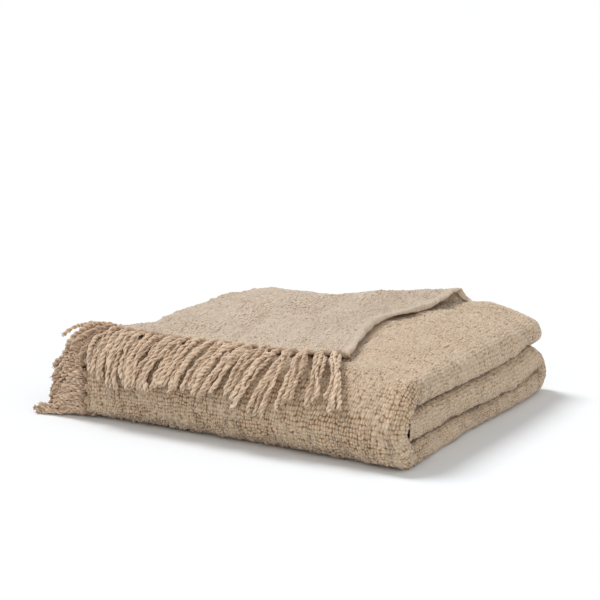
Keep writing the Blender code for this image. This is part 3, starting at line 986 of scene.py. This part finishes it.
def buildSide():
    bag = YarnBag(32)
    bag.dim = hanging["dim"]
    bundle = fringe["bundle"]
    at = cornerAt + hanging["firstAt"] * bundle
    while at < clothWidth - hanging["endClear"]:
        start, out, side, ahead = sideRoot(at)
        hidden = frontEnd < at < bottomEnd or at > middleStart
        bag.addKnot(start, side, out, ahead)
        count = fringe["yarns"] + hanging["moreHidden" if hidden else "more"]
        ringStep = fringe["hiddenStep" if hidden else "sideStep"]
        for off in bundlePlaces(count, bundle):
            off = off * hanging["wide"]
            outward = out * hanging["rootOut"] * bag.stray()
            root = start + side * off * hanging["rootWide"] + outward
            long = fringe["length"] * bag.random.uniform(*hanging["longRange"])
            if start[2] < hanging["lowRoot"]:
                droop = hanging["lowDroop"]
            else:
                droop = hanging["droop"] * bag.random.uniform(*hanging["droopRange"])
            fan = side * off * hanging["fan"] * hanging["fanTurn"]
            path = hangingYarn(bag, root, ahead + fan, long, droop)
            bag.addYarn(path, bag.random.uniform(*hanging["scaleRange"]), ringStep)
        at += bundle * (fringe["closer"] if topRun < at < frontEnd else 1.0)
    return bag.finish("fringeSide")


# Shader maths: a wire is a socket with its finish
class Wire:
    def __init__(self, finish, socket):
        self.finish = finish
        self.socket = socket

    def sum(self, operation, first, second):
        return self.finish.add("ShaderNodeMath", {"operation": operation}, {0: first, 1: second})

    def __add__(self, other):
        return self.sum("ADD", self, other)

    def __radd__(self, other):
        return self.sum("ADD", other, self)

    def __sub__(self, other):
        return self.sum("SUBTRACT", self, other)

    def __rsub__(self, other):
        return self.sum("SUBTRACT", other, self)

    def __mul__(self, other):
        return self.sum("MULTIPLY", self, other)

    def __rmul__(self, other):
        return self.sum("MULTIPLY", other, self)

    def __pow__(self, other):
        return self.sum("POWER", self, other)

    def most(self, other):
        return self.sum("MAXIMUM", self, other)

    def clip(self):
        return self.finish.add("ShaderNodeClamp", None, {0: self})

    def out(self, name):
        return Wire(self.finish, self.socket.node.outputs[name])


class Finish:
    def __init__(self, name):
        self.material = bpy.data.materials.new(name)
        self.material.use_nodes = True
        self.tree = self.material.node_tree
        self.surface = self.tree.nodes["Principled BSDF"]

    def add(self, kind, settings=None, sockets=None, output=0):
        node = self.tree.nodes.new(kind)
        for key, value in (settings or {}).items():
            setattr(node, key, value)
        for key, value in (sockets or {}).items():
            self.feed(node.inputs[key], value)
        return Wire(self, node.outputs[output])

    def feed(self, socket, value):
        if isinstance(value, Wire):
            self.tree.links.new(value.socket, socket)
        elif hasattr(value, "__len__") and len(value) == 3 and socket.type == "RGBA":
            socket.default_value = (*value, 1.0)
        else:
            socket.default_value = value

    def read(self, attribute):  # the first of a mesh attribute's three values, with the others by out()
        values = self.add("ShaderNodeAttribute", {"attribute_name": attribute}, None, "Vector")
        return self.add("ShaderNodeSeparateXYZ", None, {0: values})

    def noise(self, scale, detail, roughness=0.5):
        where = self.add("ShaderNodeTexCoord", None, None, "Object")
        sockets = {"Vector": where, "Scale": scale, "Detail": detail, "Roughness": roughness}
        return self.add("ShaderNodeTexNoise", None, sockets)

    def mix(self, factor, first, second, blend="MIX"):
        settings = {"data_type": "RGBA", "blend_type": blend}
        return self.add("ShaderNodeMix", settings, {0: factor, 6: first, 7: second}, 2)

    def shaded(self, colour, shade):
        tone = self.add("ShaderNodeCombineColor", None, {0: shade, 1: shade, 2: shade})
        return self.mix(1.0, colour, tone, "MULTIPLY")

    def bump(self, height, distance, strength):
        sockets = {"Strength": strength, "Distance": distance, "Height": height}
        return self.add("ShaderNodeBump", None, sockets)

    def set(self, **values):
        for name, value in values.items():
            self.feed(self.surface.inputs[name.replace("_", " ")], value)


clothLook = dict(
    # The two dark colours are painted shade, for the cracks, holes, rims and low yarn of each side
    face=(0.662, 0.527, 0.384),
    faceInShade=(0.330, 0.165, 0.060),
    pale=(0.672, 0.562, 0.446),
    paleInShade=(0.335, 0.195, 0.100),
    roughness=0.92,
    loose=0.40,  # how far the beads of yarn lie off their rows
    fibres=(750.0, 3.0, 0.65),  # a noise's scale, detail and roughness
    nubs=(260.0, 2.0),
    clouds=(22.0, 3.0),
    bent=0.5,  # how far the nubs bend the beads
    domeFall=1.35,  # how fast a bead falls off towards its rim
    crackFall=3.4,  # the painted shade in the cracks between beads, and how dark it is
    crackPlain=0.12,
    crackGap=0.42,
    crackBorder=0.5,
    holeFall=4.5,  # the painted shade in the holes where the weave is open
    holeFrom=0.50,
    holeDeep=0.85,
    holeBorder=0.6,
    rimPlain=0.22,  # the painted shade at the beads' own rims
    rimGap=0.25,
    lowShade=0.35,  # painted shade on yarn that lies lower than the rest, and under the hem
    lowShadeBelow=0.70,
    lighter=0.06,
    shade=0.70,  # all of it, and what each noise adds
    fibreShade=0.20,
    nubShade=0.16,
    cloudShade=0.10,
    beadShade=0.14,
    fibreBump=0.40,
    nubBump=0.7,
    holeBump=0.4,
    bumpHigh=0.0012,
)
softSheen = dict(Sheen_Weight=0.25, Sheen_Roughness=0.5, Specular_IOR_Level=0.15)


def clothFinish():
    look, seen = Finish("cloth"), clothLook
    a = look.read("weave")
    # relief also carries the painted shade under the hem
    b, relief = a.out("Y"), a.out("Z")
    paler = look.read("tone")
    gap, border = paler.out("Y"), paler.out("Z")
    fibres = look.noise(*seen["fibres"])
    nubs = look.noise(*seen["nubs"])
    clouds = look.noise(*seen["clouds"])
    # Each crossing is a bead of yarn, and the cloth's cracks and holes run between the beads, with
    # painted shade in them and on the beads' rims
    bent = seen["bent"] * (nubs - 0.5)
    centred = 0.5 - seen["loose"] / 2
    beadAt = look.add("ShaderNodeCombineXYZ", None, {0: a - centred + bent, 1: b - centred - bent})
    sockets = {"Vector": beadAt, "Scale": 1.0, "Randomness": seen["loose"]}
    flat = {"voronoi_dimensions": "2D"}
    away = look.add("ShaderNodeTexVoronoi", flat, sockets)
    beadTone = look.add("ShaderNodeSeparateColor", None, {0: away.out("Color")})
    edges = look.add("ShaderNodeTexVoronoi", {**flat, "feature": "DISTANCE_TO_EDGE"}, sockets)
    dome = (1.0 - (seen["domeFall"] * away) ** 2.0).clip()
    crack = (1.0 - seen["crackFall"] * edges).clip() * (1.0 - seen["crackBorder"] * border)
    hole = (seen["holeFall"] * (away - seen["holeFrom"])).clip() * gap
    hole = hole * (1.0 - seen["holeBorder"] * border)
    # painted shade: how far each point goes to the dark colour, from its cracks, holes, rims, low yarn
    # and the hem
    depth = crack * (seen["crackPlain"] + seen["crackGap"] * gap) + seen["holeDeep"] * hole
    depth = depth + (1.0 - dome) * (seen["rimPlain"] + seen["rimGap"] * gap)
    depth = depth + seen["lowShade"] * (seen["lowShadeBelow"] - relief).most(0.0) - seen["lighter"]
    pale = look.mix(paler, seen["face"], seen["pale"])
    dark = look.mix(paler, seen["faceInShade"], seen["paleInShade"])
    shade = seen["shade"] + seen["fibreShade"] * fibres + seen["nubShade"] * nubs
    shade = shade + seen["cloudShade"] * clouds + seen["beadShade"] * beadTone
    colour = look.shaded(look.mix(depth.clip(), pale, dark), shade)
    bumpy = seen["fibreBump"] * fibres + seen["nubBump"] * nubs + dome - seen["holeBump"] * hole
    bump = look.bump(bumpy, seen["bumpHigh"], 1.0)
    look.set(Base_Color=colour, Roughness=seen["roughness"], Normal=bump, **softSheen)
    return look.material


yarnLook = dict(
    pale=(0.880, 0.705, 0.540),
    dark=(0.400, 0.245, 0.140),
    tip=(0.900, 0.750, 0.580),
    # painted shade: each yarn is darker near its root, in the shade under its knot
    root=(0.200, 0.115, 0.062),
    roughness=0.9,
    fibres=(800.0, 3.0, 0.6),
    lumps=(300.0, 1.0),
    tipFrom=0.84,  # share of a yarn's length where it gets the tip's colour
    tipRate=6.0,
    rootShadeRate=7.0,
    lit=0.04,  # how much of the pale colour shows, and what adds to it
    fibreLit=0.45,
    lumpLit=0.40,
    # painted light on each ply's outer side and painted shade in the groove between the plies
    outwardLit=0.28,
    # each yarn's random tone, less the painted shade where yarns lie in each other's shade
    toneAndShadeLit=0.22,
    shade=0.95,
    toneAndShadeLevel=0.08,
    lumpShade=0.14,
    lumpBump=0.6,
    bumpHigh=0.0008,
    bumpStrong=0.8,
)


def yarnFinish():
    look, seen = Finish("yarn"), yarnLook
    along = look.read("strand")
    outward, toneAndShade = along.out("Y"), along.out("Z")
    fibres = look.noise(*seen["fibres"])
    lumps = look.noise(*seen["lumps"])
    end = (seen["tipRate"] * (along - seen["tipFrom"])).clip()
    # painted shade at each yarn's root
    pastRootShade = (seen["rootShadeRate"] * along).clip()
    pale = look.mix(end, seen["pale"], seen["tip"])
    pale = look.mix(pastRootShade, seen["root"], pale)
    dark = look.mix(pastRootShade, seen["root"], seen["dark"])
    lit = seen["lit"] + seen["fibreLit"] * fibres + seen["lumpLit"] * lumps
    lit = lit + seen["outwardLit"] * outward + seen["toneAndShadeLit"] * toneAndShade
    shade = seen["shade"] + seen["toneAndShadeLevel"] * toneAndShade + seen["lumpShade"] * (lumps - 0.5)
    colour = look.shaded(look.mix(lit.clip(), dark, pale), shade)
    bump = look.bump(fibres + seen["lumpBump"] * lumps, seen["bumpHigh"], seen["bumpStrong"])
    look.set(Base_Color=colour, Roughness=seen["roughness"], Normal=bump, **softSheen)
    return look.material


studio = dict(
    cameraAt=(0.9885, -1.745, 0.546),
    cameraTo=(-0.2505, 0.369, 0.05),
    lens=90.36,
    sensor=36.0,
    floor=(0.850, 0.874, 0.898),
    floorHalf=60.0,
    world=0.54,
)
# Each light: its energy, its angle in degrees, where it comes from and its colour
lights = dict(
    softLight=(2.31, 22.0, (-0.80, 0.30, 1.0), (1.0, 1.0, 1.0)),
    sideLight=(0.74, 75.0, (1.0, -0.10, 0.08), (1.0, 0.95, 0.88)),
    frontLight=(0.36, 60.0, (0.25, -1.0, 0.5), (1.0, 0.88, 0.72)),
)


def buildStudio():
    scene = bpy.context.scene
    camera = addObject("camera", bpy.data.cameras.new("camera"))
    camera.data.lens = studio["lens"]
    camera.data.sensor_width = studio["sensor"]
    camera.location = studio["cameraAt"]
    look = Vector(studio["cameraTo"]) - Vector(studio["cameraAt"])
    camera.rotation_euler = look.to_track_quat("-Z", "Y").to_euler()
    scene.camera = camera
    floorMesh = bpy.data.meshes.new("floor")
    half = studio["floorHalf"]
    corners = [(-half, -half, 0), (half, -half, 0), (half, half, 0), (-half, half, 0)]
    floorMesh.from_pydata(corners, [], [(0, 1, 2, 3)])
    floor = addObject("floor", floorMesh)
    paper = Finish("floor")
    paper.set(Base_Color=studio["floor"], Roughness=0.9, Specular_IOR_Level=0.1)
    floorMesh.materials.append(paper.material)
    for name, (energy, angle, source, colour) in lights.items():
        sun = addObject(name, bpy.data.lights.new(name, "SUN"))
        sun.data.energy = energy
        sun.data.color = colour
        sun.data.angle = math.radians(angle)
        sun.rotation_euler = Vector(source).to_track_quat("Z", "Y").to_euler()
    world = bpy.data.worlds.new("studio")
    world.use_nodes = True
    scene.world = world
    nodes, links = world.node_tree.nodes, world.node_tree.links
    ray = nodes.new("ShaderNodeLightPath")
    power = nodes.new("ShaderNodeMix")  # the camera sees the backdrop white, and the throw a dimmer one
    power.inputs[2].default_value = studio["world"]
    power.inputs[3].default_value = 1.0
    links.new(ray.outputs["Is Camera Ray"], power.inputs[0])
    back = nodes["Background"]
    back.inputs["Color"].default_value = (1, 1, 1, 1)
    links.new(power.outputs[0], back.inputs["Strength"])
    scene.view_settings.view_transform = "Standard"


buildStudio()
print("studio ready")

cloth = clothFinish()
yarn = yarnFinish()
top, low, inner = buildCloth()
print("cloth ready")
cornerFringe, sidePiece = buildCorner(), buildSide()
print("fringe ready")

for piece in (top, low, inner):
    piece.data.materials.append(cloth)
    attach(piece, "root")
    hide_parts("throw")
for piece, node in ((cornerFringe, "fringe_corner"), (sidePiece, "fringe_side")):
    piece.data.materials.append(yarn)
    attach(piece, "root")
    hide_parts(node)

topSize = (vCut * weave["acrossPitch"], uCut * weave["alongPitch"])
lowSize = (clothWidth - topSize[0], topSize[1])
clothLength - topSize[1]
